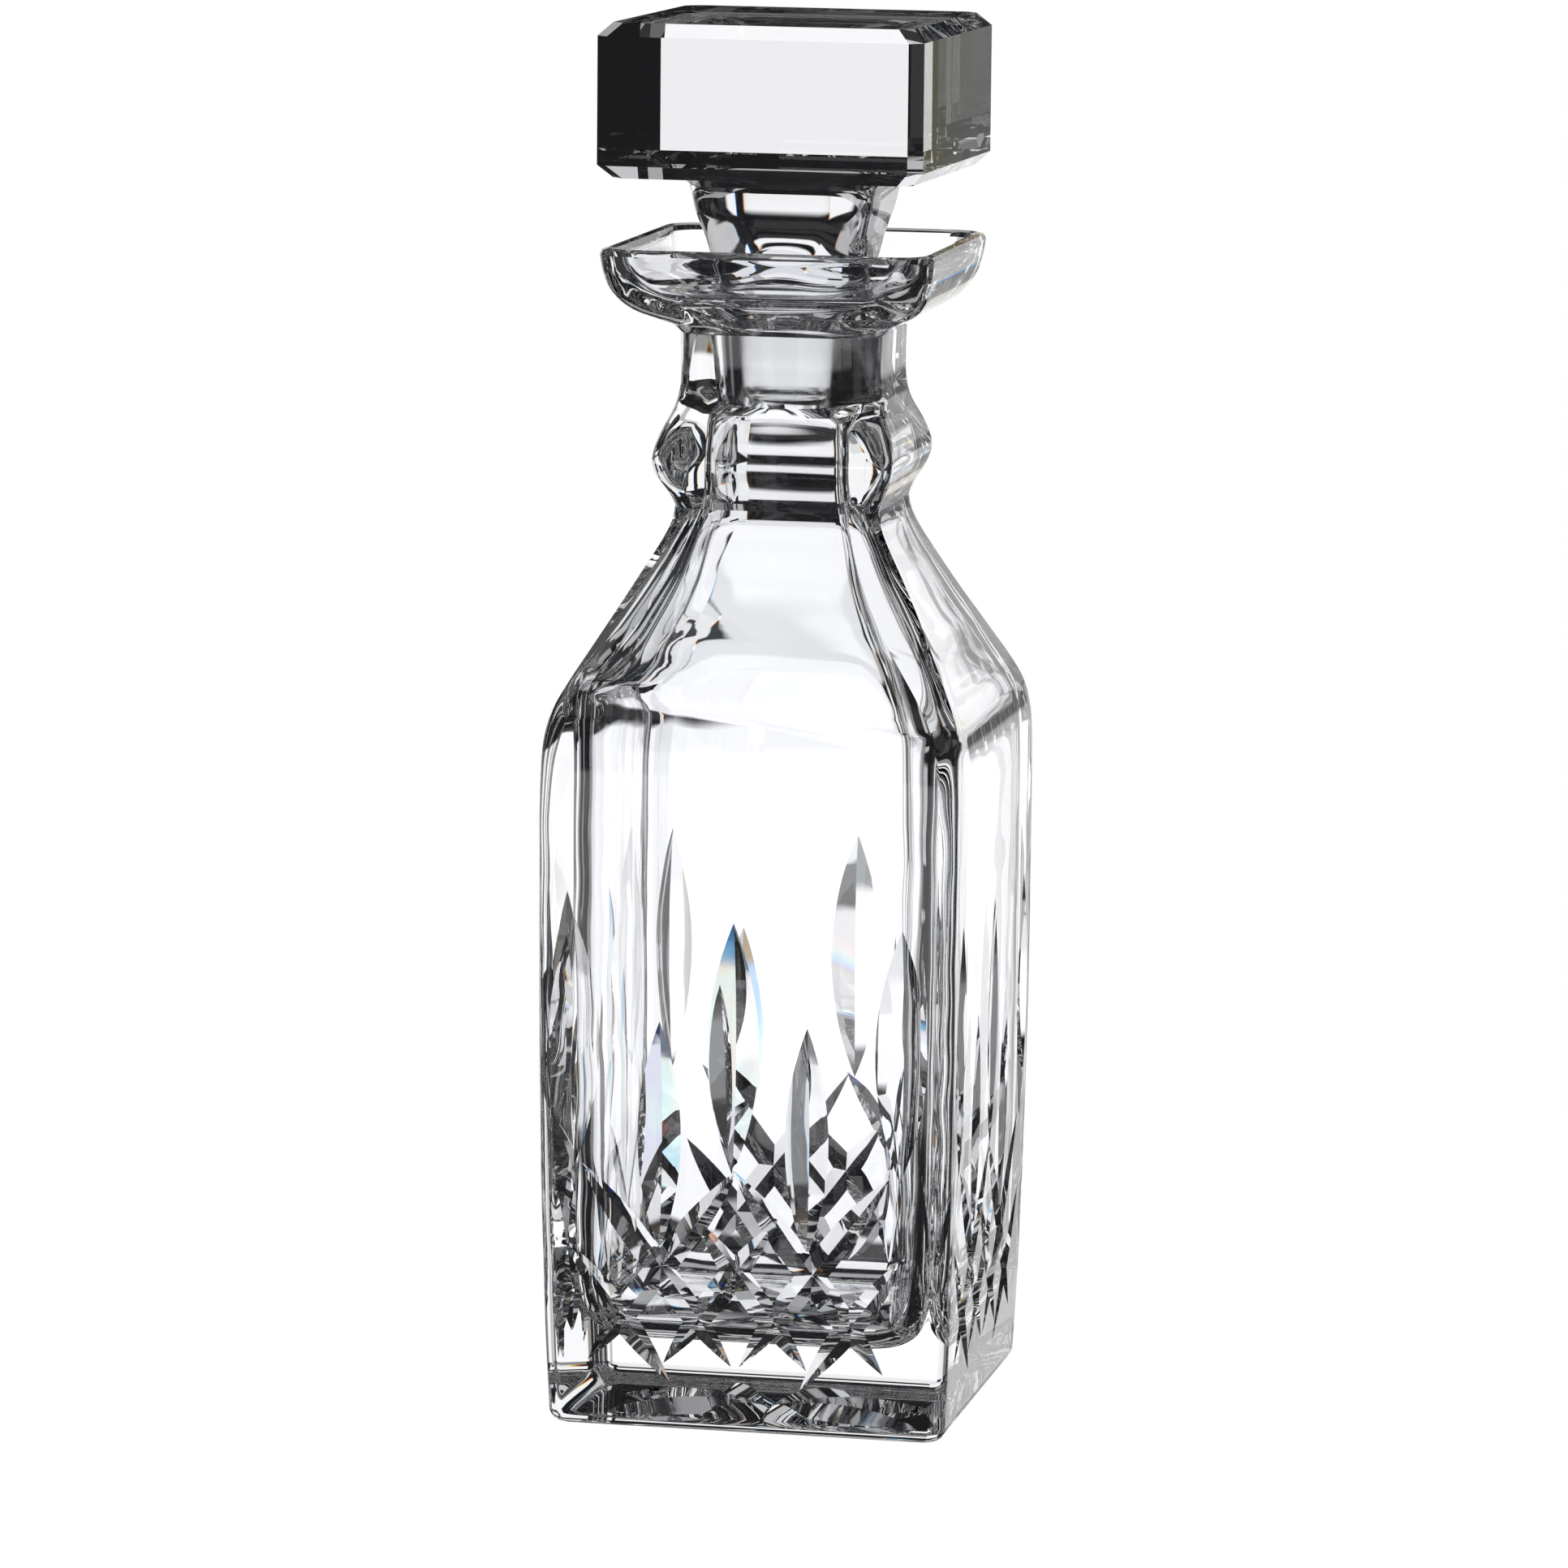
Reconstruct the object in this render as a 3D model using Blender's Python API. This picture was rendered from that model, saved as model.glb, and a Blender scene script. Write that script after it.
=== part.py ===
"""Square cut crystal decanter: a heavy bottle and its ground glass stopper.

Metres, +Z up. The origin is the centre of the underside, which stands on z = 0.
The front face looks along -Y. Sections are squares whose corners are cut or rounded.
"""
import math
from collections import namedtuple

import bpy
import bmesh
from mathutils import Matrix, Vector

MM = 0.001

# ---- driving dimensions -------------------------------------------------
TOTAL_HEIGHT = 260.0 * MM
BODY_HALF = 39.5 * MM            # half width of the body under the shoulder
FOOT_HALF = 37.6 * MM            # half width at the foot, the body tapers down to it
TAPER_TOP = 85.0 * MM            # where the taper ends
BODY_CORNER = 3.4 * MM           # rounding of the upright edges
BODY_TOP = 131.0 * MM            # where the walls turn into the shoulder
SHOULDER_TOP = 169.5 * MM        # where the shoulder meets the neck ring
RING_HEIGHT = 180.0 * MM         # middle of the neck ring
RING_HALF = 21.9 * MM
RING_FLAT = 19.8 * MM            # half width of the ring's flat side at its fullest
RING_SWELL = 5.0 * MM            # how far the ring stands out
RING_RISE = 8.6 * MM
NECK_HALF = 18.8 * MM
NECK_TOP = 203.2 * MM
LIP_HALF = 31.2 * MM             # square pouring lip, outside
LIP_TOP = 218.8 * MM
LIP_WALL = 3.2 * MM
FLOOR_THICKNESS = 16.0 * MM      # solid glass under the hollow
WALL = 5.3 * MM                  # body wall
HOLLOW_CORNER = 7.0 * MM         # rounding of the hollow's upright edges
FOOT_ROUND = 3.0 * MM

MOUTH_RADIUS = 14.3 * MM         # bore where the lip ends
MOUTH_HEIGHT = 206.5 * MM
SEAT_END_RADIUS = 12.9 * MM      # bore at the lower end of the ground seat
SEAT_END = 188.0 * MM
SEAT_GAP = 0.3 * MM              # clearance between plug and bore

BLOCK_HALF = 30.6 * MM           # square head of the stopper
BLOCK_BOTTOM = 231.6 * MM
BLOCK_BEVEL = 2.4 * MM
STEM_TOP_HALF = 19.0 * MM
PLUG_END = 189.5 * MM

# ---- cut pattern ---------------------------------------------------------
WHEEL_HALF_ANGLE = math.radians(59.0)    # half the angle of the wheel's V edge
LANCE_WHEEL = 100.0 * MM         # wheel radius
STAR_WHEEL = 55.0 * MM
RIM_THICKNESS = 14.0 * MM
WHEEL_STEPS = 64
PITCH = 14.3 * MM                # half a motif
LATTICE_TIP = 12.3 * MM          # lower ends of the lattice cuts
LATTICE_SLOPE = 1.318            # rise over run of the lattice cuts
LATTICE_WIDTH = 4.8 * MM
CUT_OVERRUN = 0.9 * MM           # cuts that meet run on past each other
TALL_LANCE = (50.4 * MM, 97.7 * MM)
SHORT_LANCE = (34.5 * MM, 78.0 * MM)
PATTERN_SHIFT = -1.5 * MM        # the hand-laid pattern sits a little off centre
STAR_RAYS = 8
STAR_INNER = -2.0 * MM            # the rays run on past the centre
STAR_OUTER = 32.0 * MM

CORNER_STEPS = 4                 # segments in each rounded corner

# height, half width of the section, half width of its flat side, and how far
# the corner bulges: 0 is a straight chamfer, 1 is a round
Ring = namedtuple("Ring", "z half flat bulge")


def remove_everything():
    for item in list(bpy.data.objects):
        bpy.data.objects.remove(item, do_unlink=True)


def new_collection(name):
    collection = bpy.data.collections.new(name)
    bpy.context.scene.collection.children.link(collection)
    return collection


def crystal(name, roughness):
    material = bpy.data.materials.new(name)
    material.use_nodes = True
    shader = material.node_tree.nodes["Principled BSDF"]
    shader.inputs["Base Color"].default_value = (0.93, 0.95, 0.96, 1.0)
    shader.inputs["Roughness"].default_value = roughness
    shader.inputs["Metallic"].default_value = 0.0
    shader.inputs["IOR"].default_value = 1.545
    shader.inputs["Transmission Weight"].default_value = 1.0
    return material


def section(ring):
    """Corner points of one section, anticlockwise from above."""
    corner = ring.half - ring.flat
    points = []
    for quarter in range(4):
        turn = Matrix.Rotation(math.radians(90 * quarter), 3, "Z")
        for step in range(CORNER_STEPS + 1):
            part = step / CORNER_STEPS
            angle = math.radians(90 * part)
            arc = Vector((ring.flat + corner * math.cos(angle),
                          ring.flat + corner * math.sin(angle), ring.z))
            chamfer = Vector((ring.half - corner * part, ring.flat + corner * part, ring.z))
            points.append(turn @ chamfer.lerp(arc, ring.bulge))
    return points


def stack(name, rings, collection, material):
    """A closed solid through a pile of sections: a disc, extruded from ring to ring."""
    bm = bmesh.new()
    start = section(rings[0])
    bmesh.ops.create_circle(bm, cap_ends=True, segments=len(start), radius=rings[0].half)
    bm.verts.ensure_lookup_table()
    verts = list(bm.verts)
    for vert, place in zip(verts, start):
        vert.co = place
    foot = bm.faces[:][0]
    foot.normal_update()
    if foot.normal.z > 0:
        foot.normal_flip()
    edges = [bm.edges.get((verts[i], verts[(i + 1) % len(verts)])) for i in range(len(verts))]
    for ring in rings[1:]:
        made = bmesh.ops.extrude_edge_only(bm, edges=edges)["geom"]
        fresh = [item for item in made if isinstance(item, bmesh.types.BMVert)]
        above = {}
        for vert in fresh:
            for edge in vert.link_edges:
                other = edge.other_vert(vert)
                if other in verts:
                    above[verts.index(other)] = vert
        verts = [above[i] for i in range(len(verts))]
        for vert, place in zip(verts, section(ring)):
            vert.co = place
        edges = [bm.edges.get((verts[i], verts[(i + 1) % len(verts)])) for i in range(len(verts))]
    bmesh.ops.contextual_create(bm, geom=edges)
    bmesh.ops.recalc_face_normals(bm, faces=bm.faces[:])
    mesh = bpy.data.meshes.new(name)
    bm.to_mesh(mesh)
    bm.free()
    mesh.materials.append(material)
    body = bpy.data.objects.new(name, mesh)
    collection.objects.link(body)
    return body


def body_half(z):
    """Half width of the tapered body at a height."""
    return FOOT_HALF + (BODY_HALF - FOOT_HALF) * min(z / TAPER_TOP, 1.0)


def outer_rings():
    foot = []
    for angle in (0, 35, 65, 90):
        rise = math.sin(math.radians(angle))
        foot.append(Ring(FOOT_ROUND * (1 - math.cos(math.radians(angle))),
                         FOOT_HALF - FOOT_ROUND * (1 - rise),
                         FOOT_HALF - FOOT_ROUND * (1.5 - 0.5 * rise), 1.0))
    body = [Ring(z, body_half(z), body_half(z) - BODY_CORNER, 0.8)
            for z in (60 * MM, 90 * MM, BODY_TOP - 9 * MM)]
    shoulder = [
        Ring(BODY_TOP - 3.5 * MM, BODY_HALF - 0.2 * MM, BODY_HALF - 4.2 * MM, 0.6),
        Ring(BODY_TOP + 0.5 * MM, BODY_HALF - 1.0 * MM, BODY_HALF - 5.2 * MM, 0.4),
        Ring(134.5 * MM, 37.3 * MM, 33.0 * MM, 0.4),
        Ring(139 * MM, 35.0 * MM, 29.8 * MM, 0.35),
        Ring(145 * MM, 31.8 * MM, 25.6 * MM, 0.35),
        Ring(151 * MM, 28.4 * MM, 21.6 * MM, 0.35),
        Ring(158.5 * MM, 24.1 * MM, 18.0 * MM, 0.4),
        Ring(164 * MM, 21.0 * MM, 15.8 * MM, 0.5),
        Ring(SHOULDER_TOP, 19.6 * MM, 14.8 * MM, 0.7),
        Ring(171 * MM, 19.4 * MM, 14.6 * MM, 0.9),
    ]
    ring = []
    for turn in range(-60, 61, 30):
        rise, swell = math.sin(math.radians(turn)), math.cos(math.radians(turn))
        flat = RING_FLAT * swell ** 0.5 if turn < 0 else RING_FLAT * swell
        ring.append(Ring(RING_HEIGHT + RING_RISE * rise, RING_HALF - RING_SWELL * (1 - swell),
                         flat, 1.0))
    neck = [
        Ring(190.5 * MM, NECK_HALF + 0.3 * MM, 7.5 * MM, 1.0),
        Ring(196 * MM, NECK_HALF, 6.0 * MM, 1.0),
        Ring(NECK_TOP - 1.0 * MM, NECK_HALF + 0.6 * MM, 6.0 * MM, 1.0),
    ]
    lip = [
        Ring(NECK_TOP + 1.2 * MM, 22.8 * MM, 9.5 * MM, 1.0),
        Ring(205.6 * MM, 25.6 * MM, 14.5 * MM, 1.0),
        Ring(208.6 * MM, 28.6 * MM, 20.0 * MM, 1.0),
        Ring(213 * MM, 30.7 * MM, 24.0 * MM, 1.0),
        Ring(LIP_TOP - 0.8 * MM, LIP_HALF, 25.2 * MM, 1.0),
        Ring(LIP_TOP, LIP_HALF - 0.8 * MM, 25.0 * MM, 1.0),
    ]
    return foot + body + shoulder + ring + neck + lip


def inner_rings():
    dish = [
        Ring(LIP_TOP, LIP_HALF - LIP_WALL + 0.8 * MM, 23.6 * MM, 1.0),
        Ring(LIP_TOP - 0.8 * MM, LIP_HALF - LIP_WALL, 23.2 * MM, 1.0),
        Ring(214 * MM, 27.0 * MM, 21.0 * MM, 1.0),
        Ring(210.4 * MM, 24.6 * MM, 16.0 * MM, 1.0),
        Ring(208.0 * MM, 20.0 * MM, 8.0 * MM, 1.0),
        Ring(MOUTH_HEIGHT, MOUTH_RADIUS, 0.0, 1.0),
    ]
    seat = [Ring(SEAT_END, SEAT_END_RADIUS, 0.0, 1.0)]
    hollow = [
        Ring(180 * MM, 13.1 * MM, 2.0 * MM, 1.0),
        Ring(170 * MM, 13.4 * MM, 7.0 * MM, 1.0),
        Ring(164 * MM, 15.2 * MM, 9.0 * MM, 1.0),
        Ring(155 * MM, 20.2 * MM, 13.4 * MM, 1.0),
        Ring(145 * MM, 26.0 * MM, 19.4 * MM, 1.0),
        Ring(138 * MM, 30.0 * MM, 23.6 * MM, 1.0),
        Ring(132 * MM, 32.8 * MM, 26.2 * MM, 1.0),
        Ring(BODY_TOP - 6 * MM, BODY_HALF - WALL, BODY_HALF - WALL - HOLLOW_CORNER, 1.0),
    ]
    low = []
    for rise, narrow in ((None, 0.0), (12 * MM, 0.2 * MM), (5 * MM, 1.6 * MM),
                         (1.4 * MM, 5.0 * MM), (0.0, 9.5 * MM)):
        z = TAPER_TOP if rise is None else FLOOR_THICKNESS + rise
        half = body_half(z) - WALL - narrow
        low.append(Ring(z, half, half - HOLLOW_CORNER - narrow, 1.0))
    return dish + seat + hollow + low


def wheel(name, radius, reach, collection):
    """The rim of a cutting wheel with a V edge, stretched along its own X by reach."""
    bm = bmesh.new()
    rim = RIM_THICKNESS / 2
    inner = radius - rim / math.tan(WHEEL_HALF_ANGLE)
    for side in (1, -1):
        place = Matrix.Translation((0, 0, side * rim / 2))
        turn = Matrix.Rotation(0 if side > 0 else math.pi, 4, "X")
        bmesh.ops.create_cone(bm, cap_ends=False, segments=WHEEL_STEPS, radius1=radius,
                              radius2=inner, depth=rim, matrix=place @ turn)
    bmesh.ops.remove_doubles(bm, verts=bm.verts[:], dist=1e-6)
    bmesh.ops.holes_fill(bm, edges=bm.edges[:], sides=0)
    for vert in bm.verts:
        if abs(vert.co.x) > 1e-6:
            vert.co.x += math.copysign(reach / 2, vert.co.x)
    bmesh.ops.recalc_face_normals(bm, faces=bm.faces[:])
    mesh = bpy.data.meshes.new(name)
    bm.to_mesh(mesh)
    bm.free()
    cutter = bpy.data.objects.new(name, mesh)
    collection.objects.link(cutter)
    cutter.hide_render = True
    cutter.display_type = "WIRE"
    return cutter


def cut(name, start, end, normal, width, radius, collection):
    """Place a wheel so that it cuts from start to end, two points on a flat face."""
    start, end, normal = Vector(start), Vector(end), Vector(normal).normalized()
    along = (end - start).normalized()
    depth = width / 2 / math.tan(WHEEL_HALF_ANGLE)
    plunge = 2 * math.sqrt(2 * radius * depth - depth ** 2)
    reach = max((end - start).length - plunge, 0.0)
    cutter = wheel(name, radius, reach, collection)
    centre = (start + end) / 2 + normal * (radius - depth)
    axes = Matrix((along, -normal, along.cross(-normal))).transposed()
    cutter.matrix_world = Matrix.Translation(centre) @ axes.to_4x4()
    return cutter


def lens_cut(name, start, end, normal, radius, collection):
    """One plunge of the wheel: its depth and width follow from the length."""
    length = (Vector(end) - Vector(start)).length
    width = length ** 2 / (4 * radius) * math.tan(WHEEL_HALF_ANGLE)
    return cut(name, start, end, normal, width, radius, collection)


def face_point(x, z):
    """A point on the front face, which leans out with the taper of the body."""
    return Vector((x + PATTERN_SHIFT, -body_half(z), z))


def lattice_cuts():
    """Start and end of every straight cut of the lattice on one face, run on to cross."""
    step = PITCH * LATTICE_SLOPE
    high = LATTICE_TIP + 2 * step
    lines = []
    for side in (-1, 1):
        lines.append((Vector((0.0, high)), Vector((side * 2 * PITCH, LATTICE_TIP))))
        lines.append((Vector((side * 2 * PITCH, high)), Vector((0.0, LATTICE_TIP))))
        lines.append((Vector((-side * 0.5 * PITCH, LATTICE_TIP + 1.5 * step)),
                      Vector((side * PITCH, LATTICE_TIP))))
        lines.append((Vector((side * 2 * PITCH, LATTICE_TIP + step)),
                      Vector((side * PITCH, LATTICE_TIP))))
    run_on = [(end - start).normalized() * CUT_OVERRUN for start, end in lines]
    return [(start - more, end + more) for (start, end), more in zip(lines, run_on)]


def cut_pattern(collection):
    """Lances and lattice on all four faces, and the star under the base."""
    lean = Vector((0.0, -1.0, -(BODY_HALF - FOOT_HALF) / TAPER_TOP))
    tall = [(x * PITCH, TALL_LANCE) for x in (-2, 0, 2)]
    short = [(x * PITCH, SHORT_LANCE) for x in (-1, 1)]
    front = []
    for place, (low, high) in tall + short:
        front.append(lens_cut("lance_cutter", face_point(place, low), face_point(place, high),
                              lean, LANCE_WHEEL, collection))
    for (x0, z0), (x1, z1) in lattice_cuts():
        front.append(cut("lattice_cutter", face_point(x0, z0), face_point(x1, z1),
                         lean, LATTICE_WIDTH, LANCE_WHEEL, collection))
    for quarter in (1, 2, 3):
        turn = Matrix.Rotation(math.radians(90 * quarter), 4, "Z")
        for cutter in front:
            copy = cutter.copy()
            collection.objects.link(copy)
            copy.matrix_world = turn @ cutter.matrix_world
    for ray in range(STAR_RAYS):
        angle = math.radians(360 / STAR_RAYS * (ray + 0.5))
        out = Vector((math.cos(angle), math.sin(angle), 0.0))
        lens_cut("star_cutter", out * STAR_INNER, out * STAR_OUTER, (0, 0, -1), STAR_WHEEL,
                 collection)


def make_bottle(parts, cutters):
    bottle = stack("bottle", outer_rings() + inner_rings(), parts, crystal("cut crystal", 0.02))
    cut_pattern(cutters)
    carve = bottle.modifiers.new("cut pattern", "BOOLEAN")
    carve.operation = "DIFFERENCE"
    carve.operand_type = "COLLECTION"
    carve.collection = cutters
    carve.solver = "EXACT"
    return bottle


def make_stopper(parts):
    """Block, flared stem and ground plug, one piece of glass."""
    stem_rings = [
        Ring(PLUG_END, SEAT_END_RADIUS - SEAT_GAP - 1.2 * MM, 0.0, 1.0),
        Ring(PLUG_END + 1.2 * MM, SEAT_END_RADIUS - SEAT_GAP + 0.1 * MM, 0.0, 1.0),
        Ring(MOUTH_HEIGHT, MOUTH_RADIUS - SEAT_GAP, 0.0, 1.0),
        Ring(211.5 * MM, 14.4 * MM, 1.5 * MM, 1.0),
        Ring(216.5 * MM, 14.9 * MM, 4.5 * MM, 1.0),
        Ring(220 * MM, 15.3 * MM, 6.5 * MM, 1.0),
        Ring(224.5 * MM, 16.4 * MM, 8.5 * MM, 1.0),
        Ring(229.5 * MM, 18.4 * MM, 10.5 * MM, 1.0),
    ]
    bevel = BLOCK_BEVEL
    block_rings = [
        Ring(BLOCK_BOTTOM, STEM_TOP_HALF + 1.0 * MM, 12.0 * MM, 1.0),
        Ring(BLOCK_BOTTOM, BLOCK_HALF - bevel, BLOCK_HALF - 2 * bevel, 0.0),
        Ring(BLOCK_BOTTOM + bevel, BLOCK_HALF, BLOCK_HALF - bevel, 0.0),
        Ring(TOTAL_HEIGHT - bevel, BLOCK_HALF, BLOCK_HALF - bevel, 0.0),
        Ring(TOTAL_HEIGHT, BLOCK_HALF - bevel, BLOCK_HALF - 2 * bevel, 0.0),
    ]
    return stack("stopper", stem_rings + block_rings, parts, crystal("polished crystal", 0.03))


def main():
    remove_everything()
    parts = new_collection("decanter")
    cutters = new_collection("cutters")
    make_bottle(parts, cutters)
    make_stopper(parts)


main()
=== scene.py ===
# %% [markdown]
# # A square cut crystal decanter
# The real thing is two pieces of heavy lead crystal: a bottle, blown thick, then cut and
# polished, and a stopper with a square head. Glass has no colour or grain of its own, so
# all that the eye gets is shape: the bends in each surface, the hollow inside, the cuts,
# and what they make of the light. So the lesson is mostly about exact, smooth surfaces.

# %% [markdown]
# ## The frame
# The frame holds the two measured solids, their sizes and the way the stopper lifts. Nothing
# is modelled from memory that can be read from it, so the boxes are read first.

import math

import bpy
import numpy as np
from mathutils import Matrix, Vector, noise


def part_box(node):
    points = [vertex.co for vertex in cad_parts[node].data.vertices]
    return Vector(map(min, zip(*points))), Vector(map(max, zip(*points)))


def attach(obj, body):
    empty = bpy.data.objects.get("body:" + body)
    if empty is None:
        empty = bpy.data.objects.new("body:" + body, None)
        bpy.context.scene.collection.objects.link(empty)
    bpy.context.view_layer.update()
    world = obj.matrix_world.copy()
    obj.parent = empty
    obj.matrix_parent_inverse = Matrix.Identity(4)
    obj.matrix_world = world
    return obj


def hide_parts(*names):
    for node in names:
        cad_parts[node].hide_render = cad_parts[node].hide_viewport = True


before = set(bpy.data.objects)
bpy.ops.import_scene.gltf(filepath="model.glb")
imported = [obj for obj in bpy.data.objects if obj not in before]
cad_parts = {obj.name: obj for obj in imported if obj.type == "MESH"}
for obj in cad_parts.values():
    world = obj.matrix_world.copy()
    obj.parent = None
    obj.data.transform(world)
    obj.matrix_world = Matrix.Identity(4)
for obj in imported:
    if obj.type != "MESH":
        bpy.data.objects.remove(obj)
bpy.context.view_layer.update()                    # the solids, on the bodies that move them
bottle_low, bottle_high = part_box("bottle")
stopper_low, stopper_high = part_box("stopper")
print("bottle from", bottle_low, "to", bottle_high)
print("stopper from", stopper_low, "to", stopper_high)

# %% [markdown]
# ## Sizes
# The outer sizes come from the frame's boxes. The others are what a glass maker would chalk
# on the mould: wall, floor, foot radius and bevel, in millimetres.

# %% Sizes taken from the frame, and the ones that only the looks need
MM = 0.001
BODY = bottle_high[0]                # half width of the body under the shoulder
HEAD = stopper_high[0]               # half width of the stopper's square head
HEAD_TOP = 260.0                     # heights that the profile tables share, in millimetres
HEAD_UNDER = 231.6
PLUG_END = 189.5

FOOT = BODY - 1.9 * MM               # half width at the foot
TAPER_TOP = 95 * MM                  # the walls swell out up to here
FOOT_ROUND = 3.0 * MM
WALL = 5.3 * MM
FLOOR = 16.0 * MM                    # solid glass under the hollow
HOLLOW_CORNER = 8.0 * MM
LEAN = -0.09                         # the hollow's bend is tipped, as blown
HEAD_BEVEL = 2.4 * MM
print("body", round(2 * BODY / MM, 1), "mm wide, head", round(2 * HEAD / MM, 1), "mm wide")

# %% [markdown]
# ## One way to make a blown and moulded form
# Both pieces change from square to round as they rise. A grid does this well: its columns
# go round the form and its rows climb it, so rolling the grid up gives a closed skin with
# even, smooth faces. Each row is a section: a square whose corners are rounded, and which
# can turn into a circle.

# %% Sections, and the curve that runs through them
FLAT_STEPS = 8                       # columns in half a flat side
CORNER_STEPS = 14                    # columns in a corner
QUARTER = 2 * FLAT_STEPS + CORNER_STEPS
ROW_GAP = 1.1 * MM                   # rows stand about this far apart
WAVE_LENGTH = 9.0 * MM               # the hand-worked surface wanders over this distance
FLAT_WAVE = 0.12                     # and the flats share this much of it
SAME_POINT = 1e-6                    # points nearer than this are one point


def section(z, half, flat, bulge, round_, wave, lean):
    """One row's points. half: half width; flat: half width of the flat side; bulge: from a
    straight chamfer, 0, to a rounded corner, 1; round_: from a square, 0, to a circle, 1;
    wave: how far the hand-worked surface wanders; lean: how much the row tips along X."""
    corner = half - flat
    points = []
    for step in range(QUARTER):
        part = min(max((step - FLAT_STEPS) / CORNER_STEPS, 0.0), 1.0)
        angle = math.radians(90 * part)
        arc = (flat + corner * math.cos(angle), flat + corner * math.sin(angle))
        chamfer = (half - corner * part, flat + corner * part)
        if step < FLAT_STEPS:
            square = (half, flat * step / FLAT_STEPS)
        elif step < FLAT_STEPS + CORNER_STEPS:
            square = [c + (a - c) * bulge for a, c in zip(arc, chamfer)]
        else:
            square = (flat * (QUARTER - step) / FLAT_STEPS, half)
        turn = math.radians(90 * step / QUARTER)
        circle = (half * math.cos(turn), half * math.sin(turn))
        points.append([s + (c - s) * round_ for s, c in zip(square, circle)])
    quarter = np.array(points)
    sides = [quarter, quarter[:, ::-1] * (-1, 1), -quarter, quarter[:, ::-1] * (1, -1)]
    loop = np.vstack(sides)
    loop = np.column_stack([loop, z + lean * loop[:, 0]])
    if wave:
        for i, point in enumerate(loop):
            part = (i % QUARTER - FLAT_STEPS) / CORNER_STEPS
            bend = math.sin(math.pi * part) if 0 < part < 1 else 0.0
            push = wave * (FLAT_WAVE + bend) * noise.noise(Vector(point) / WAVE_LENGTH)
            point[:2] *= 1 + push / half
    return loop


def smooth_rows(knots):
    """Rows on a smooth curve through the knots, each (z, half, flat, bulge, round)."""
    knots = np.array(knots, float)
    rows = [knots[0]]
    for i in range(len(knots) - 1):
        here, there = knots[i], knots[i + 1]
        span = math.dist(here[:2], there[:2])
        before = knots[i - 1] if i else here
        after = knots[i + 2] if i + 2 < len(knots) else there
        lead = math.dist(before[:2], here[:2]) + span
        trail = span + math.dist(there[:2], after[:2])
        out = (there - before) * span / lead
        into = (after - here) * span / trail
        for k in range(1, max(int(span / ROW_GAP), 1) + 1):
            t = k / max(int(span / ROW_GAP), 1)
            rows.append((2 * t**3 - 3 * t**2 + 1) * here + (t**3 - 2 * t**2 + t) * out
                        + (3 * t**2 - 2 * t**3) * there + (t**3 - t**2) * into)
    return rows


def rolled(name, runs):
    """A closed skin: a grid rolled up through all the rows, run after run."""
    rows = []
    for run in runs:
        rows += smooth_rows(run)[1 if rows else 0:]
    loops = [section(*row) for row in rows]
    places = np.vstack([np.vstack([loop, loop[:1]]) for loop in loops])
    bpy.ops.object.select_all(action="DESELECT")
    bpy.ops.mesh.primitive_grid_add(x_subdivisions=4 * QUARTER, y_subdivisions=len(rows) - 1)
    skin = bpy.context.object
    skin.name = name
    skin.data.vertices.foreach_set("co", places.ravel())
    bpy.ops.object.mode_set(mode="EDIT")
    bpy.ops.mesh.select_all(action="SELECT")
    bpy.ops.mesh.remove_doubles(threshold=SAME_POINT)
    bpy.ops.mesh.normals_make_consistent(inside=False)
    bpy.ops.object.mode_set(mode="OBJECT")
    print(name, "has", len(rows), "rows and", len(skin.data.polygons), "faces")
    return skin


# %% [markdown]
# ## The foot and the walls
# The bottle is blown into a square mould, so its walls lean out a little from the foot, and
# hot glass leaves round edges. The profile could be spun, but a spun form has no flats, so
# it is written as rows of height, half width and half flat, and rolled as above.

# %% Foot and walls
def wall_half(z):
    """Half width of the body, which swells gently from the foot."""
    rest = max(1 - z / TAPER_TOP, 0.0)
    return BODY - (BODY - FOOT) * rest**2


def mm(*rows, wave=0.0, lean=0.0):
    """Knots written in millimetres: z, half, flat; then bulge and round as they are."""
    return [(z * MM, half * MM, flat * MM, bulge, round_, wave * MM, lean)
            for z, half, flat, bulge, round_ in rows]


BODY_CORNER = 3.4 * MM
WALL_HEIGHTS = (20, 40, 60, 80, 100, 115)
WALL_WAVE = 0.10 * MM                # hot glass never cools quite flat
underside = [(0, 0, 0, 1, 0, 0, 0), (0, FOOT * 0.5, FOOT * 0.4, 1, 0, 0, 0),
             (0, FOOT - FOOT_ROUND, FOOT - 1.6 * FOOT_ROUND, 1, 0, 0, 0)]
foot = []
for angle in range(0, 91, 15):
    rise = math.sin(math.radians(angle))
    foot.append((FOOT_ROUND * (1 - math.cos(math.radians(angle))), FOOT - FOOT_ROUND * (1 - rise),
                 FOOT - FOOT_ROUND * (1.6 - 0.5 * rise), 1, 0, 0, 0))
walls = [foot[-1]]
for z in WALL_HEIGHTS:
    half = wall_half(z * MM)
    walls.append((z * MM, half, half - BODY_CORNER, 1, 0, WALL_WAVE, 0))
print("walls lean out by", round((BODY - FOOT) / MM, 2), "mm")

# %% [markdown]
# ## The shoulder, ring and lip
# Above the walls the form turns in, and its four corners are cut away to broad slanting
# bands that are ground by hand, so they wander most. The ring and the neck are tooled while
# hot, and the lip is opened out into a square dish that pours from any corner.

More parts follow.
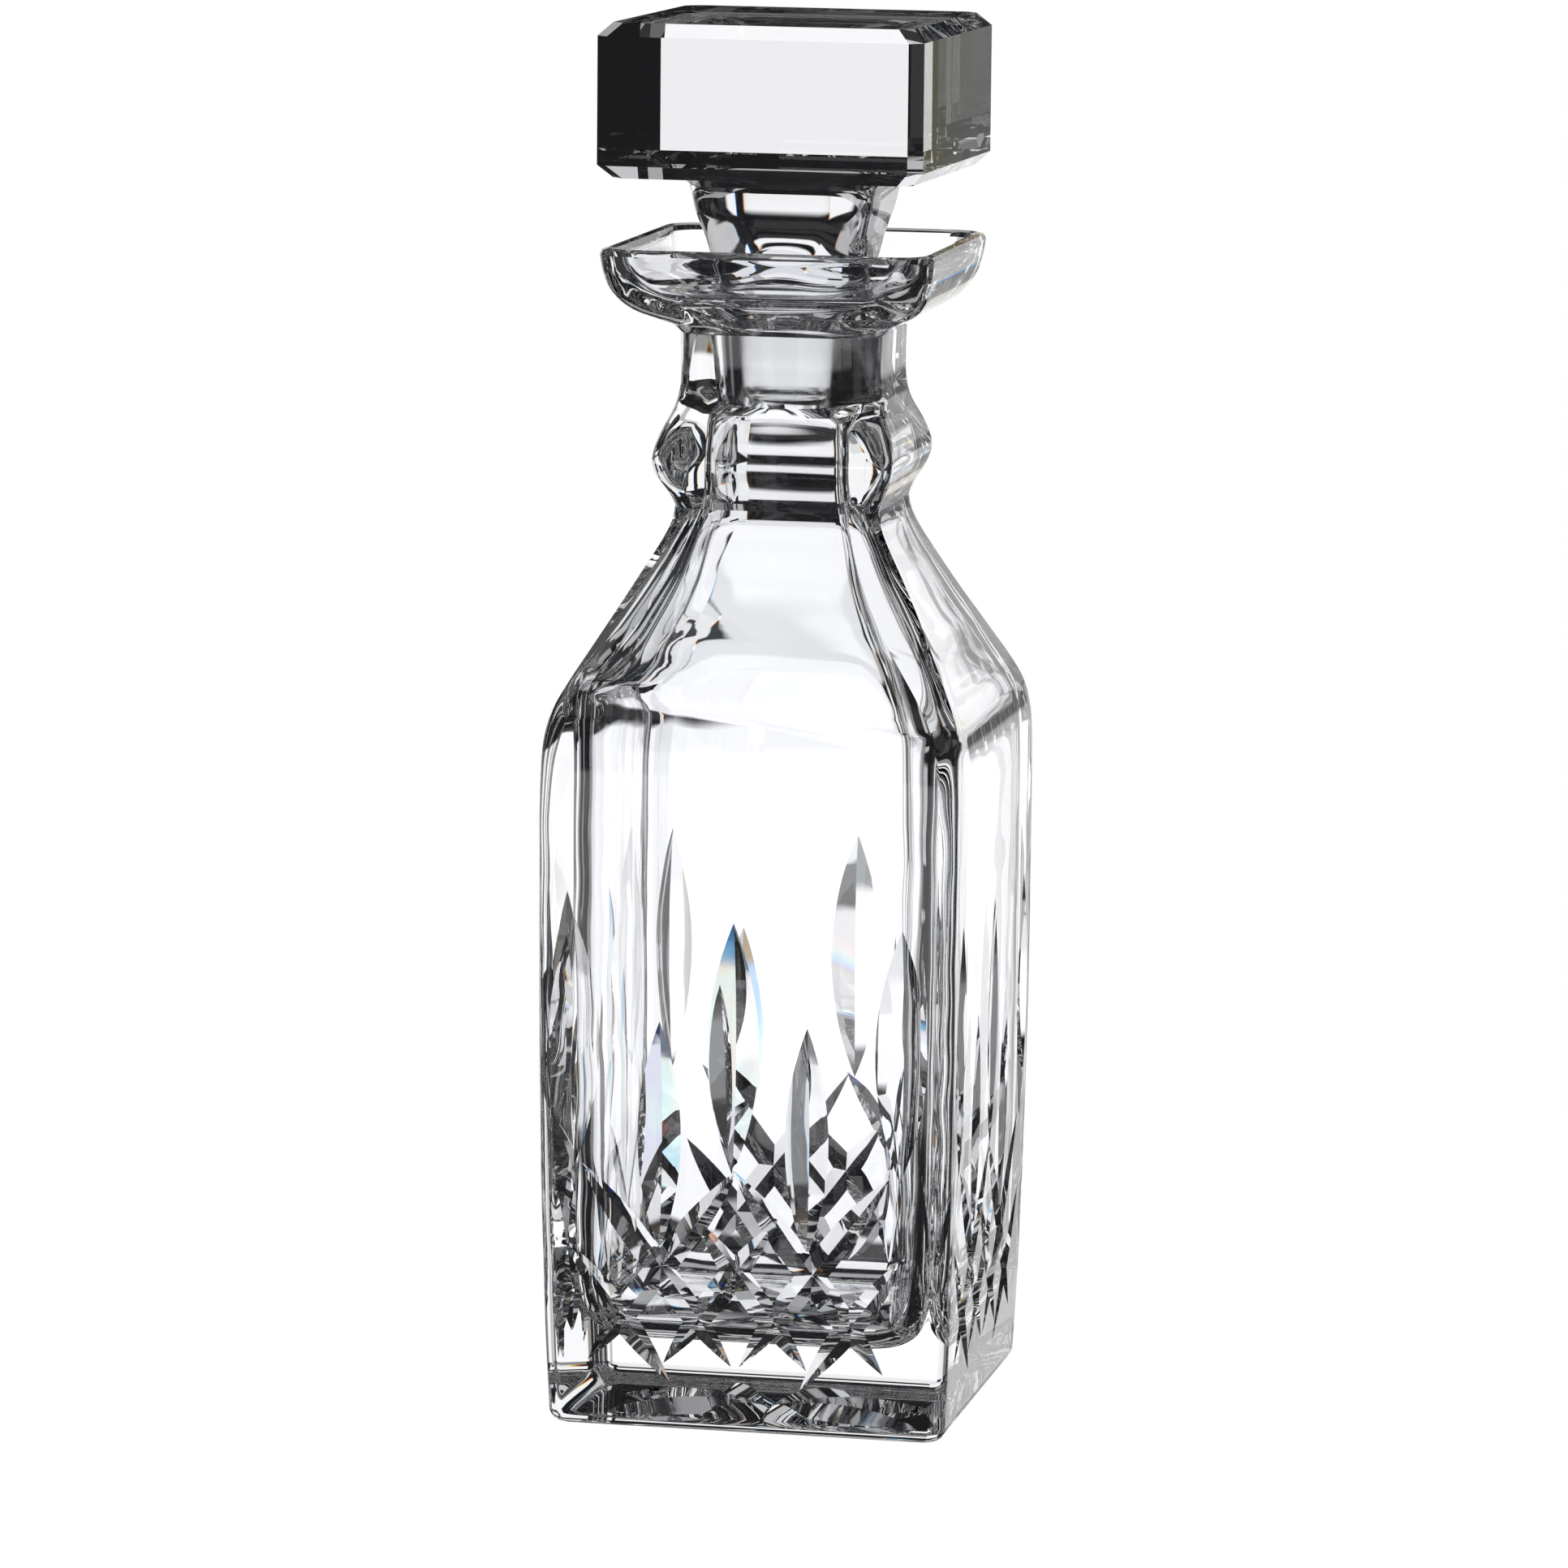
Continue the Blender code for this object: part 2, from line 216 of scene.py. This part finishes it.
# %% Shoulder, ring, neck and lip
turn_in = mm((115, 39.5, 36.1, 1, 0), (122, 39.5, 35.9, 0.9, 0), (127, 39.3, 35.4, 0.8, 0),
             (131, 38.7, 34.6, 0.6, 0), (134.5, 37.6, 33.3, 0.4, 0), (139, 35.4, 30.5, 0.2, 0),
             wave=0.10)
shoulder = mm((139, 35.4, 30.5, 0.2, 0), (144.6, 32.3, 26.4, 0.1, 0), (151, 28.7, 22.0, 0.1, 0),
              (158.4, 24.5, 18.0, 0.1, 0), (164, 21.3, 15.8, 0.2, 0), (167.5, 19.7, 14.8, 0.4, 0),
              (170.2, 19.2, 14.6, 0.6, 0), wave=0.30)
ring = mm((170.2, 19.2, 14.6, 0.6, 0), (172.6, 20.0, 15.4, 0.9, 0), (176, 21.8, 17.8, 1, 0),
          (179.5, 22.6, 19.0, 1, 0), (184.0, 21.6, 16.2, 1, 0), (188.5, 19.8, 12.6, 1, 0),
          (192.0, 19.0, 11.6, 1, 0), (197, 18.8, 11.4, 1, 0), (202.5, 19.0, 11.2, 1, 0), wave=0.05)
lip_under = mm((202.5, 19.0, 11.2, 1, 0), (203.9, 20.6, 11.4, 1, 0), (205.2, 23.6, 13.6, 1, 0),
               (207.4, 27.2, 18.4, 1, 0), (210.8, 29.7, 22.6, 1, 0), (214.5, 30.8, 24.4, 1, 0),
               (217.6, 31.2, 25.2, 1, 0), wave=0.04)
rim = mm((217.6, 31.2, 25.2, 1, 0), (218.5, 30.8, 25.0, 1, 0), (218.8, 29.8, 24.4, 1, 0),
         (218.5, 28.8, 23.8, 1, 0), (217.6, 28.3, 23.3, 1, 0))
dish = mm((217.6, 28.3, 23.3, 1, 0), (214.2, 27.6, 22.0, 1, 0), (211.0, 25.6, 18.6, 1, 0),
          (208.9, 22.0, 12.0, 1, 0.2), (207.8, 18.4, 6.0, 1, 0.7), (206.9, 15.6, 3.0, 1, 1),
          (205.8, 14.4, 2.5, 1, 1), wave=0.03)

# %% [markdown]
# ## The hollow
# Inside, the glass is as it was blown: a squarish bore, a slanting shoulder and a bend that
# sits a little tipped, because the gather of glass was. The stopper's seat is ground round.
# The inside is more rows of the same skin, so the wall has its real thickness.

# %% Seat, bore and hollow
HOLLOW_HEIGHTS = (105, 85, 60, 40, 27)
HOLLOW_WAVE = 0.25 * MM
FLOOR_WAVE = 0.20 * MM
FLOOR_ROUND = 8.5 * MM
seat = mm((205.8, 14.25, 2.5, 1, 1), (188.2, 12.9, 2.2, 1, 1))
bore = mm((188.2, 12.9, 2.2, 1, 1), (186.4, 13.3, 9.4, 1, 0.2), (182, 13.4, 10.4, 1, 0),
          (176, 13.7, 10.6, 1, 0), (171, 14.4, 10.8, 1, 0), (166, 16.2, 11.2, 1, 0),
          (158, 19.8, 12.6, 1, 0.05), (150, 24.4, 16.0, 1, 0.1), (144, 27.9, 19.6, 1, 0.1),
          wave=0.05)
bend = mm((144, 27.9, 19.6, 1, 0.1), (139, 30.8, 22.6, 1, 0.05), (136.2, 32.4, 24.4, 1, 0),
          (134.4, 33.45, 25.4, 1, 0), (133.4, 33.85, 25.8, 1, 0), (132, 34.0, 26.0, 1, 0),
          (128, 34.1, 26.1, 1, 0), (118, 34.2, 26.2, 1, 0), wave=0.12)
LEAN_SHARES = (0, 0.6, 1, 1, 1, 1, 0.7, 0)        # the tip fades out above and below
for i, share in enumerate(LEAN_SHARES):
    bend[i] = bend[i][:6] + (LEAN * share,)
inside = [bend[-1]]
for z in HOLLOW_HEIGHTS:
    inner = wall_half(z * MM) - WALL
    inside.append((z * MM, inner, inner - HOLLOW_CORNER, 1, 0, HOLLOW_WAVE, 0))
inner = wall_half(20 * MM) - WALL
for angle in (30, 50, 70, 90):
    drop, draw = math.sin(math.radians(angle)), 1 - math.cos(math.radians(angle))
    inside.append((FLOOR + FLOOR_ROUND * (1 - drop), inner - FLOOR_ROUND * draw,
                   inner - HOLLOW_CORNER - FLOOR_ROUND * draw * 0.9, 1, 0, FLOOR_WAVE, 0))
inside.append((FLOOR - 0.4 * MM, inner * 0.4, inner * 0.25, 1, 0, 0, 0))
inside.append((FLOOR - 0.5 * MM, 0, 0, 1, 0, 0, 0))

# %% Roll the bottle
bottle = rolled("bottle_glass", [underside, foot, walls, turn_in + shoulder[1:], ring, lip_under,
                                 rim, dish, seat, bore + bend[1:], inside])

# %% [markdown]
# ## The cuts
# Every lance, lattice line and star ray is one pass of a V-edged wheel, and a lance is
# simply where the round wheel went in and came out. So the wheel itself is modelled and
# taken away from the glass. It gives the true leaf shape, the ridge down the middle and
# crisp edges, which no bump in a material would, because glass bends light by real facets.

# %% The wheel that makes every cut
WHEEL_HALF_ANGLE = math.radians(59)
LANCE_WHEEL = 100 * MM
STAR_WHEEL = 55 * MM
RIM_THICKNESS = 14 * MM
WHEEL_STEPS = 256


def wheel(radius, reach):
    """The rim of a cutting wheel with a V edge, its two halves drawn apart by reach."""
    bpy.ops.object.select_all(action="DESELECT")
    depth = RIM_THICKNESS / 2
    inner_radius = radius - depth / math.tan(WHEEL_HALF_ANGLE)
    bpy.ops.mesh.primitive_cone_add(vertices=WHEEL_STEPS, radius1=radius, radius2=inner_radius,
                                    depth=depth, location=(0, 0, depth / 2), end_fill_type="NGON")
    cutter = bpy.context.object
    bpy.ops.object.transform_apply(location=True)
    bpy.ops.object.mode_set(mode="EDIT")
    bpy.ops.mesh.select_all(action="DESELECT")
    bpy.ops.object.mode_set(mode="OBJECT")
    bottom = [face for face in cutter.data.polygons if face.normal.z < -0.99]
    bottom[0].select = True
    bpy.ops.object.mode_set(mode="EDIT")
    bpy.ops.mesh.extrude_region_move(TRANSFORM_OT_translate={"value": (0, 0, -depth)})
    bpy.ops.transform.resize(value=(inner_radius / radius, inner_radius / radius, 1))
    for side in (1, -1):
        bpy.ops.mesh.select_all(action="DESELECT")
        bpy.ops.object.mode_set(mode="OBJECT")
        for vert in cutter.data.vertices:
            vert.select = vert.co.x * side > 1e-6
        bpy.ops.object.mode_set(mode="EDIT")
        bpy.ops.mesh.select_mode(type="VERT")
        bpy.ops.transform.translate(value=(side * reach / 2, 0, 0))
    bpy.ops.object.mode_set(mode="OBJECT")
    return cutter


def cut(piece, start, end, normal, width, radius):
    """Cut a groove of that width from start to end, two points on a face."""
    start, end, normal = Vector(start), Vector(end), Vector(normal).normalized()
    along = (end - start).normalized()
    depth = width / 2 / math.tan(WHEEL_HALF_ANGLE)
    plunge = 2 * math.sqrt(2 * radius * depth - depth**2)
    cutter = wheel(radius, max((end - start).length - plunge, 0.0))
    centre = (start + end) / 2 + normal * (radius - depth)
    axes = Matrix((along, -normal, along.cross(-normal))).transposed()
    cutter.matrix_world = Matrix.Translation(centre) @ axes.to_4x4()
    carve = piece.modifiers.new("cut", "BOOLEAN")
    carve.operation = "DIFFERENCE"
    carve.solver = "MANIFOLD"
    carve.object = cutter
    bpy.context.view_layer.objects.active = piece
    bpy.ops.object.modifier_apply(modifier=carve.name)
    bpy.data.objects.remove(cutter, do_unlink=True)


def lens_cut(piece, start, end, normal, radius):
    """One plunge of the wheel: depth and width follow from the length."""
    length = (Vector(end) - Vector(start)).length
    cut(piece, start, end, normal, length**2 / (4 * radius) * math.tan(WHEEL_HALF_ANGLE), radius)


# %% [markdown]
# ## Laying out the pattern
# Each face has tall and short lances above a lattice of crossed grooves, and the base has
# a star. The cutter chalks the lines by eye, so each face is a few millimetres its own.

# %% The pattern of one face
PITCH = 14.3 * MM
LATTICE_TIP = 12.3 * MM
LATTICE_SLOPE = 1.318
LATTICE_WIDTH = 4.8 * MM
TALL = (50.4 * MM, 97.7 * MM)
SHORT = (34.5 * MM, 78.0 * MM)
LAID_OUT = ((-1.5 * MM, 0), (-1.5 * MM, 0), (-4.6 * MM, 5.0 * MM), (-1.5 * MM, 0))
TALL_AT = [(-30.1 * MM, 0, 31.5 * MM)] * 4          # where the lances stand on each face
SHORT_AT = [(-14.2 * MM, 13.6 * MM)] * 4
TALL_AT[2] = (-30.1 * MM, 0, 37.2 * MM)             # the far face was cut wider
SHORT_AT[2] = (-14.2 * MM, 21.6 * MM)


def on_face(x, z, quarter):
    """A point of one face's pattern. The cutter lays each face out by eye."""
    aside, up = LAID_OUT[quarter]
    point = Vector((x + aside, -wall_half(z + up), z + up))
    return Matrix.Rotation(math.radians(90 * quarter), 3, "Z") @ point


def lattice_lines():
    """Start and end of every crossed groove, side and height, rising by the lattice's slope."""
    step = PITCH * LATTICE_SLOPE
    lines = []
    for side in (-1, 1):
        lines.append(((0, LATTICE_TIP + 2 * step), (side * 2 * PITCH, LATTICE_TIP)))
        lines.append(((side * 2 * PITCH, LATTICE_TIP + 2 * step), (0, LATTICE_TIP)))
        lines.append(((-side * 0.5 * PITCH, LATTICE_TIP + 1.5 * step), (side * PITCH, LATTICE_TIP)))
        lines.append(((side * 2 * PITCH, LATTICE_TIP + step), (side * PITCH, LATTICE_TIP)))
    return lines



# %% Cut the four faces
FACE_NORMAL = Vector((0, -1, -0.02))                # the walls lean out a little
for quarter in range(4):
    normal = Matrix.Rotation(math.radians(90 * quarter), 3, "Z") @ FACE_NORMAL
    for places, (low, high) in ((TALL_AT, TALL), (SHORT_AT, SHORT)):
        for x in places[quarter]:
            lens_cut(bottle, on_face(x, low, quarter), on_face(x, high, quarter), normal,
                     LANCE_WHEEL)
    for (x0, z0), (x1, z1) in lattice_lines():
        cut(bottle, on_face(x0, z0, quarter), on_face(x1, z1, quarter), normal,
            LATTICE_WIDTH, LANCE_WHEEL)
print("after the faces, the bottle has", len(bottle.data.polygons), "polygons")

# %% Cut the star underneath
STAR_RAYS = 8
STAR_START, STAR_END = -2 * MM, 32 * MM
for ray in range(STAR_RAYS):
    angle = math.radians(360 / STAR_RAYS * (ray + 0.5))
    out = Vector((math.cos(angle), math.sin(angle), 0))
    lens_cut(bottle, out * STAR_START, out * STAR_END, (0, 0, -1), STAR_WHEEL)
print("after the star, the bottle has", len(bottle.data.polygons), "polygons")

# %% [markdown]
# ## The stopper
# The stopper is one solid piece: a round plug ground to a taper, a squarish stem that flares
# into flats, and a heavy square head whose bevels were flattened on a wheel. It is rolled
# from rows like the bottle. It was pushed home a little turned, as a hand leaves it.

# %% Plug and stem
plug = mm((PLUG_END, 0, 0, 1, 1), (PLUG_END, 6, 1, 1, 1), (PLUG_END, 11.6, 2.0, 1, 1))
plug_side = mm((PLUG_END, 11.6, 2.0, 1, 1), (189.8, 12.3, 2.1, 1, 1), (190.6, 12.7, 2.2, 1, 1),
               (206.5, 13.95, 2.4, 1, 1))
stem = mm((206.5, 13.95, 2.4, 1, 1), (211, 14.3, 4.0, 1, 0.6), (216.5, 14.9, 6.0, 1, 0.2),
          (220, 15.2, 7.6, 1, 0), (224.5, 16.5, 9.4, 1, 0), wave=0.05)
flare = mm((224.5, 16.5, 9.4, 1, 0), (229.5, 17.6, 9.7, 1, 0))
throat = mm((229.5, 17.6, 9.7, 1, 0), (230.7, 18.8, 10.6, 1, 0), (HEAD_UNDER, 20.6, 11.6, 1, 0))

# %% Head, and the whole stopper
bevel = HEAD_BEVEL / MM
head = HEAD / MM
edge, face = (head - bevel, head - 2 * bevel, 0, 0), (head, head - bevel, 0, 0)
under = mm((HEAD_UNDER, 20.6, 11.6, 1, 0), (HEAD_UNDER, *edge))
side = [mm((HEAD_UNDER, *edge), (HEAD_UNDER + bevel, *face)),
        mm((HEAD_UNDER + bevel, *face), (HEAD_TOP - bevel, *face)),
        mm((HEAD_TOP - bevel, *face), (HEAD_TOP, *edge))]
top = mm((HEAD_TOP, *edge), (HEAD_TOP, 12, 10, 0, 0), (HEAD_TOP, 0, 0, 0, 0))
stopper = rolled("stopper_glass", [plug, plug_side, stem, flare, throat, under, *side, top])
STOPPER_TURN = math.radians(-1.9)
bpy.ops.object.mode_set(mode="EDIT")
bpy.ops.mesh.select_all(action="SELECT")
bpy.ops.transform.rotate(value=-STOPPER_TURN, orient_axis="Z", center_override=(0, 0, 0))
bpy.ops.object.mode_set(mode="OBJECT")
print("the stopper reaches", round(max(v.co.x for v in stopper.data.vertices) / MM, 2), "mm out")

# %% [markdown]
# ## Smooth and sharp
# Blown and polished glass is smooth right across its bends, while a wheel cut is crisp. An
# angle limit tells them apart: faces that meet at less than it are shaded as one surface.

# %% Shading
SMOOTH_UNDER = math.radians(20)
for piece in (bottle, stopper):
    bpy.ops.object.select_all(action="DESELECT")
    piece.select_set(True)
    bpy.context.view_layer.objects.active = piece
    bpy.ops.object.shade_smooth_by_angle(angle=SMOOTH_UNDER)

# %% [markdown]
# ## Lead crystal
# Lead makes glass heavy, very clear and bend light more, so its IOR is 1.545 against 1.5 for
# window glass. Its cuts are polished in acid, which leaves them as smooth as the blown
# skin. The plug and its seat are the one place that was ground, so they are a little grey.

# %% One helper that adds a node, and one that turns a colour
def add(tree, kind, links=(), **settings):
    """Add one node, give it its settings, and link its inputs."""
    node = tree.nodes.new(kind)
    for name, value in settings.items():
        setattr(node, name, value)
    for socket, value in dict(links).items():
        if isinstance(value, bpy.types.NodeSocket):
            tree.links.new(value, node.inputs[socket])
        else:
            node.inputs[socket].default_value = value
    return node


def srgb(text):
    """A colour as a painter would name it, #RRGGBB, as the linear values that light adds in."""
    values = [int(text[i:i + 2], 16) / 255 for i in (1, 3, 5)]
    return [v / 12.92 if v <= 0.04045 else ((v + 0.055) / 1.055) ** 2.4 for v in values] + [1.0]


# %% Polished and ground crystal
CRYSTAL_IOR = 1.545


def crystal(name, pale, deep, low, high, size):
    """Lead crystal whose tint and roughness wander a little, in patches of that size."""
    material = bpy.data.materials.new(name)
    material.use_nodes = True
    tree = material.node_tree
    tree.nodes.clear()
    place = add(tree, "ShaderNodeTexCoord")
    patches = add(tree, "ShaderNodeTexNoise",
                  {"Vector": place.outputs["Object"], "Scale": 1 / size, "Detail": 3.0})
    rough = add(tree, "ShaderNodeMapRange",
                {"Value": patches.outputs["Fac"], "From Min": 0.35, "From Max": 0.75,
                 "To Min": low, "To Max": high})
    tint = add(tree, "ShaderNodeMix", {0: patches.outputs["Fac"], 6: srgb(pale), 7: srgb(deep)},
               data_type="RGBA")
    glass = add(tree, "ShaderNodeBsdfPrincipled",
                {"Base Color": tint.outputs[2], "Roughness": rough.outputs[0], "IOR": CRYSTAL_IOR,
                 "Transmission Weight": 1.0})
    add(tree, "ShaderNodeOutputMaterial", {"Surface": glass.outputs[0]})
    return material


# Lead crystal, wheel cut and then acid polished: clear and almost perfectly smooth.
polished = crystal("lead_crystal_cut_and_polished", "#FFFFFF", "#FAFBFF", 0.0, 0.0, 14 * MM)
# The plug and its seat are ground together with grit, which leaves a fine grey frost.
ground = crystal("lead_crystal_ground", "#FAFAFA", "#F2F4F6", 0.08, 0.16, 1.2 * MM)
GROUND_LOW, GROUND_HIGH = 188.4 * MM, 206.3 * MM
GROUND_RADIUS = 14.6 * MM
for piece in (bottle, stopper):
    piece.data.materials.clear()
    piece.data.materials.append(polished)
    piece.data.materials.append(ground)
    frosted = 0
    for face in piece.data.polygons:
        x, y, z = face.center
        if GROUND_LOW < z < GROUND_HIGH and math.hypot(x, y) < GROUND_RADIUS:
            face.material_index = 1 if abs(face.normal.z) < 0.5 else 0
            frosted += face.material_index
    print(piece.name, "has", frosted, "ground faces")

# %% [markdown]
# ## Hanging the glass on the frame
# Each finished piece takes the place of its plain solid and moves with the same body, so
# the stopper still lifts out of its seat.

# %% Ride on the frame
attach(bottle, "decanter_bottle")
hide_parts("bottle")
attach(stopper, "decanter_stopper")
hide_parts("stopper")

# %% [markdown]
# ## The floor
# Glass is shown best on a plain pale surface. This one is lit white acrylic, seen by the
# camera only, so that the glass takes its dark lines from the studio and not from the floor.

# %% Floor
TABLE = 0.28
bpy.ops.object.select_all(action="DESELECT")
bpy.ops.mesh.primitive_circle_add(vertices=96, radius=TABLE, fill_type="NGON", location=(0, 0, 0))
table = bpy.context.object
table.name = "light_table"
acrylic = bpy.data.materials.new("lit_white_acrylic")
acrylic.use_nodes = True
shader = acrylic.node_tree.nodes["Principled BSDF"]
shader.inputs["Base Color"].default_value = srgb("#202020")
shader.inputs["Emission Color"].default_value = srgb("#FFFFFF")
shader.inputs["Emission Strength"].default_value = 1.0
table.data.materials.append(acrylic)
table.visible_transmission = False
table.visible_glossy = False
table.visible_diffuse = False

# %% [markdown]
# ## The studio
# Clear glass is drawn by what it bends into view: bright panels give the clear faces and
# the dark gaps between them give the black edges. The panels stand all round, and each is
# placed in degrees, sideways from straight behind the glass and up from level.

# %% Directions round the glass
AZIMUTH = math.radians(11.87)
world = bpy.data.worlds.new("studio")
bpy.context.scene.world = world
world.use_nodes = True
tree = world.node_tree
tree.nodes.clear()
place = add(tree, "ShaderNodeTexCoord")
behind = add(tree, "ShaderNodeVectorMath",
             {0: place.outputs["Generated"], 1: (-math.sin(AZIMUTH), math.cos(AZIMUTH), 0)},
             operation="DOT_PRODUCT")
aside = add(tree, "ShaderNodeVectorMath",
            {0: place.outputs["Generated"], 1: (math.cos(AZIMUTH), math.sin(AZIMUTH), 0)},
            operation="DOT_PRODUCT")
turn = add(tree, "ShaderNodeMath", {0: aside.outputs["Value"], 1: behind.outputs["Value"]},
           operation="ARCTAN2")
axes = add(tree, "ShaderNodeSeparateXYZ", {0: place.outputs["Generated"]})
rise = add(tree, "ShaderNodeMath", {0: axes.outputs["Z"]}, operation="ARCSINE")


# %% One soft-edged panel
def vector(operation, a, b):
    return add(tree, "ShaderNodeVectorMath", {0: a, 1: b}, operation=operation).outputs[0]


def fade(value, low, high, start=0.0, end=1.0):
    """From start to end as value, in degrees, goes from low to high."""
    return add(tree, "ShaderNodeMapRange",
               {6: value, 7: [math.radians(low)] * 3, 8: [math.radians(high)] * 3,
                9: [start] * 3, 10: [end] * 3},
               data_type="FLOAT_VECTOR", interpolation_type="SMOOTHSTEP").outputs["Vector"]


def panel_light(left, right, low, high, soft, strength):
    """A soft-edged bright panel, in degrees round from straight behind and up."""
    wide = vector("MULTIPLY", fade(round3, left - soft, left + soft),
                  fade(round3, right - soft, right + soft, 1, 0))
    tall = vector("MULTIPLY", fade(up3, low - soft, low + soft),
                  fade(up3, high - soft, high + soft, 1, 0))
    return vector("MULTIPLY", vector("MULTIPLY", wide, tall), [strength] * 3)


# %% All the panels
# Glass spreads colours, most of all at the end of a long path through it. The panels'
# upright edges are spread instead, red one way and blue the other.
FRINGE = math.radians(0.3)
turned = add(tree, "ShaderNodeCombineXYZ", dict.fromkeys("XYZ", turn.outputs[0])).outputs[0]
round3 = vector("ADD", turned, (-FRINGE, 0, FRINGE))
up3 = add(tree, "ShaderNodeCombineXYZ", dict.fromkeys("XYZ", rise.outputs[0])).outputs[0]
PANELS = (                                   # left, right, low, high, soft, strength
    (-19, 13, -17, -6.2, 0.8, 1.15), (-19, 13, -6.2, -1.5, 0.8, 0.94),
    (13, 19, -17, -1.5, 0.8, 0.55), (19, 31, -17, -5.4, 0.5, 1.05), (31, 41, -17, -5.4, 1.0, 0.30),
    (-30, -19, -17, -5.4, 0.5, 0.95), (-36, -30, -22, 4, 0.8, 0.85),
    (-52, -36, -17, -5.4, 1.0, 0.22),
    (-5.5, 4, -1.5, 1.2, 0.8, 0.90), (19.5, 27, -5.4, -1, 0.5, 0.28),
    (19, 26, -1, 3.5, 0.5, 0.80), (-30, -5, -1, 3, 0.5, 0.90), (-30, -5, 3, 12, 0.5, 1.00),
    (-5, 6, 5, 10, 0.8, 1.00), (13, 30, 3.5, 12, 0.5, 1.00),
    (-36, -26, -32, -23, 1.0, 0.70), (-36, -19, 18, 30, 1.0, 0.50), (19, 36, 18, 30, 1.0, 0.60),
    (-60, -36, 22, 34, 2.0, 0.50), (36, 62, 22, 30, 2.0, 0.50),
    (-24, 5, -41, -29, 1.0, 1.05), (5, 28, -38, -31, 1.5, 0.40), (-60, 60, -62, -50, 2.0, 0.45),
    (-179, -152, -13, -6, 1.0, 1.70), (152, 179, -13, -6, 1.0, 1.20),
    (-148, -108, -34, 20, 2.0, 0.55), (124, 148, -30, 12, 2.0, 0.45),
    (-150, -40, 48, 62, 2.0, 0.60), (-20, 60, 44, 56, 2.0, 0.35), (-180, 180, 78, 88, 2.0, 0.40),
    (-78, -70, -40, 14, 1.0, 0.20), (58, 64, -5, 20, 1.0, 0.20), (88, 110, -9, -5, 1.0, 0.50),
    (110, 170, 24, 40, 2.0, 0.35), (-170, -110, 30, 44, 2.0, 0.45),
)
ROOM = (0.012, 0.012, 0.013)                       # a nearly black room
light = ROOM
for panel in PANELS:
    light = vector("ADD", panel_light(*panel), light)
path = add(tree, "ShaderNodeLightPath")
seen = add(tree, "ShaderNodeMix", {0: path.outputs["Is Camera Ray"], 6: light,
                                   7: (1, 1, 1, 1)}, data_type="RGBA")
glow = add(tree, "ShaderNodeBackground", {"Color": seen.outputs[2], "Strength": 1.0})
add(tree, "ShaderNodeOutputWorld", {"Surface": glow.outputs[0]})

# %% [markdown]
# ## The camera
# A long lens from a metre and a half, a little above the lip and a little to the right, as
# for a catalogue, with nothing out of focus.

# %% Camera
DISTANCE = 1.5
CAMERA_HEIGHT = 0.3538
PITCH_DOWN = math.radians(8.99)
ROLL = math.radians(0.53)
PAN = math.radians(0.045)
LENS = 185.9
camera_data = bpy.data.cameras.new("camera")
camera = bpy.data.objects.new("camera", camera_data)
bpy.context.scene.collection.objects.link(camera)
camera_data.lens = LENS
camera_data.sensor_width = 36
camera_data.clip_end = 50
spot = Vector((math.sin(AZIMUTH) * DISTANCE, -math.cos(AZIMUTH) * DISTANCE, CAMERA_HEIGHT))
aim = (Matrix.Rotation(AZIMUTH + PAN, 4, "Z")
       @ Matrix.Rotation(math.radians(90) - PITCH_DOWN, 4, "X") @ Matrix.Rotation(ROLL, 4, "Z"))
camera.matrix_world = Matrix.Translation(spot) @ aim
bpy.context.scene.camera = camera
print("camera", round(DISTANCE, 2), "m away,", LENS, "mm lens")

# %% [markdown]
# ## Light paths
# A ray can cross the two walls, the cuts and the plug twenty times before it gets out, so
# it is given enough bounces, or the deep cuts would go black.

# %% Light paths and tone
DEEP_PATHS = 32
scene = bpy.context.scene
scene.view_settings.view_transform = "Standard"
scene.cycles.max_bounces = DEEP_PATHS
scene.cycles.transmission_bounces = DEEP_PATHS
scene.cycles.glossy_bounces = DEEP_PATHS // 2
scene.cycles.transparent_max_bounces = DEEP_PATHS // 2
